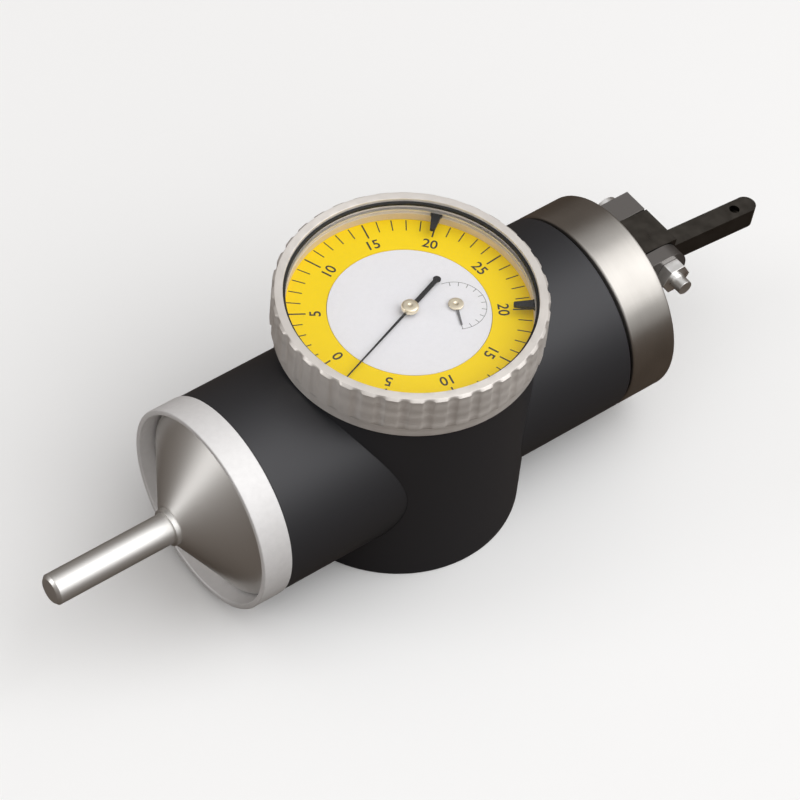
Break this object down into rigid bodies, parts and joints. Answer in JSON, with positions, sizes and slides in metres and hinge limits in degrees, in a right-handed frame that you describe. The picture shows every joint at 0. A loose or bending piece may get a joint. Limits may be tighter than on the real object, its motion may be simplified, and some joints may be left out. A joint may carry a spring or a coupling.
{
  "type": "centering indicator",
  "caption": "Dial gauge on a round barrel, with a spinning shank and cone at one end and a pivoting feeler head at the other, for centring a machine spindle on a bore or boss.",
  "frame": {"origin": "centre of the flat back face under the dial, at the mouth of the restraint rod's hole", "axes": "+X along the barrel from the shank to the feeler, +Z square to the dial, out of its face"},
  "size_m": [0.1629, 0.05, 0.0513],
  "materials": {
    "black_paint": "fine satin black paint",
    "polished_steel": "turned and polished",
    "brushed_head": "brushed round its rim",
    "frosted_ring": "frosted",
    "satin_bezel": "satin, with a bright turned rim",
    "dark_steel": "dark ground steel",
    "bright_fixings": "bright plated",
    "dark_fixings": "blackened",
    "bearing_steel": "ground and polished",
    "spring_steel": "drawn wire",
    "hairspring_steel": "tempered strip",
    "brass": "lightly brushed",
    "cage_brass": "turned",
    "clear_crystal": "clear and polished",
    "gasket_rubber": "matte",
    "yellow_scale": "matte yellow paint with dark grey print",
    "white_dial": "matte white paint with dark grey print",
    "black_marker": "matte black paint",
    "pointer_black": "matte black paint",
    "counter_grey": "matte grey paint",
    "gold_hub": "polished"
  },
  "bodies": {
    "body": {"barrel": "black_paint", "dial_housing": "black_paint", "back_screws": "dark_fixings", "cone_ring": "frosted_ring", "ring_screws": "dark_fixings", "rear_outer_race": "bearing_steel", "front_outer_race": "bearing_steel", "movement_lower_plate": "brass", "movement_upper_plate": "brass", "movement_pillars": "brass", "pillar_screws": "bright_fixings", "movement_screws": "bright_fixings", "dial_plate": "white_dial", "dial_feet": "brass", "friction_ring": "spring_steel", "hairspring": "hairspring_steel", "hairspring_stud": "brass"},
    "spindle": {"spindle": "polished_steel", "rear_inner_race": "bearing_steel", "front_inner_race": "bearing_steel", "feeler_head": "brushed_head", "clevis": "dark_steel", "clevis_screws": "dark_fixings", "pivot_screw": "bright_fixings", "pivot_nut": "bright_fixings", "spring_washer": "spring_steel", "return_spring": "spring_steel"},
    "rear_ball_set": {"rear_balls": "bearing_steel", "rear_cage": "cage_brass"},
    "front_ball_set": {"front_balls": "bearing_steel", "front_cage": "cage_brass"},
    "lever": {"feeler_lever": "dark_steel"},
    "plunger": {"pull_rod": "bearing_steel", "cross_pin": "bearing_steel", "spool": "brass"},
    "sector": {"sector": "brass", "sector_arbor": "bearing_steel", "follower_peg": "bearing_steel"},
    "counter": {"counter_arbor": "bearing_steel", "counter_wheel": "brass", "counter_hand": "counter_grey", "counter_hub": "gold_hub"},
    "pointer": {"pointer_arbor": "bearing_steel", "pointer_hand": "pointer_black", "pointer_hub": "gold_hub", "hairspring_collet": "brass"},
    "bezel": {"bezel": "satin_bezel", "crystal": "clear_crystal", "crystal_gasket": "gasket_rubber", "scale_ring": "yellow_scale"},
    "upper_marker": {"upper_limit_marker": "black_marker"},
    "lower_marker": {"lower_limit_marker": "black_marker"}
  },
  "joints": [
    {"name": "spindle_turn", "type": "hinge", "parent": "body", "child": "spindle", "pos_m": [0, 0, 0.0209], "axis": [1, 0, 0], "continuous": true},
    {"name": "rear_balls_roll", "type": "hinge", "parent": "body", "child": "rear_ball_set", "pos_m": [-0.035, 0, 0.0209], "axis": [1, 0, 0], "continuous": true},
    {"name": "front_balls_roll", "type": "hinge", "parent": "body", "child": "front_ball_set", "pos_m": [0.035, 0, 0.0209], "axis": [1, 0, 0], "continuous": true},
    {"name": "lever_swing", "type": "hinge", "parent": "spindle", "child": "lever", "pos_m": [0.0571, 0, 0.0287], "axis": [0, -1, 0], "range_deg": [0, 12.01]},
    {"name": "plunger_slide", "type": "slide", "parent": "spindle", "child": "plunger", "axis": [1, 0, 0], "range_m": [0, 0.00163], "stiffness_N_per_m": 500, "springref_m": -0.0008, "deforming": ["return_spring"]},
    {"name": "sector_swing", "type": "hinge", "parent": "body", "child": "sector", "pos_m": [0, -0.01253, 0.031], "axis": [0, 0, 1], "range_deg": [-12.01, 0]},
    {"name": "counter_turn", "type": "hinge", "parent": "body", "child": "counter", "pos_m": [0.00785, -0.00345, 0.031], "axis": [0, 0, 1], "range_deg": [0, 180.1]},
    {"name": "pointer_turn", "type": "hinge", "parent": "body", "child": "pointer", "pos_m": [0, 0, 0.031], "axis": [0, 0, 1], "range_deg": [-1801, 0], "deforming": ["hairspring"]},
    {"name": "bezel_turn", "type": "hinge", "parent": "body", "child": "bezel", "pos_m": [0, 0, 0.041], "axis": [0, 0, 1], "continuous": true},
    {"name": "upper_marker_turn", "type": "hinge", "parent": "bezel", "child": "upper_marker", "pos_m": [0, 0, 0.048], "axis": [0, 0, 1], "range_deg": [-30, 150]},
    {"name": "lower_marker_turn", "type": "hinge", "parent": "bezel", "child": "lower_marker", "pos_m": [0, 0, 0.048], "axis": [0, 0, 1], "range_deg": [-150, 30]}
  ],
  "couplings": [
    {"joint": "rear_balls_roll", "follows": "spindle_turn", "ratio": 0.38889},
    {"joint": "front_balls_roll", "follows": "spindle_turn", "ratio": 0.38889},
    {"joint": "lever_swing", "follows": "plunger_slide", "rad_per_m": 128.21},
    {"joint": "sector_swing", "follows": "plunger_slide", "rad_per_m": -128.21},
    {"joint": "counter_turn", "follows": "plunger_slide", "rad_per_m": 1923.1},
    {"joint": "pointer_turn", "follows": "plunger_slide", "rad_per_m": -19231}
  ]
}
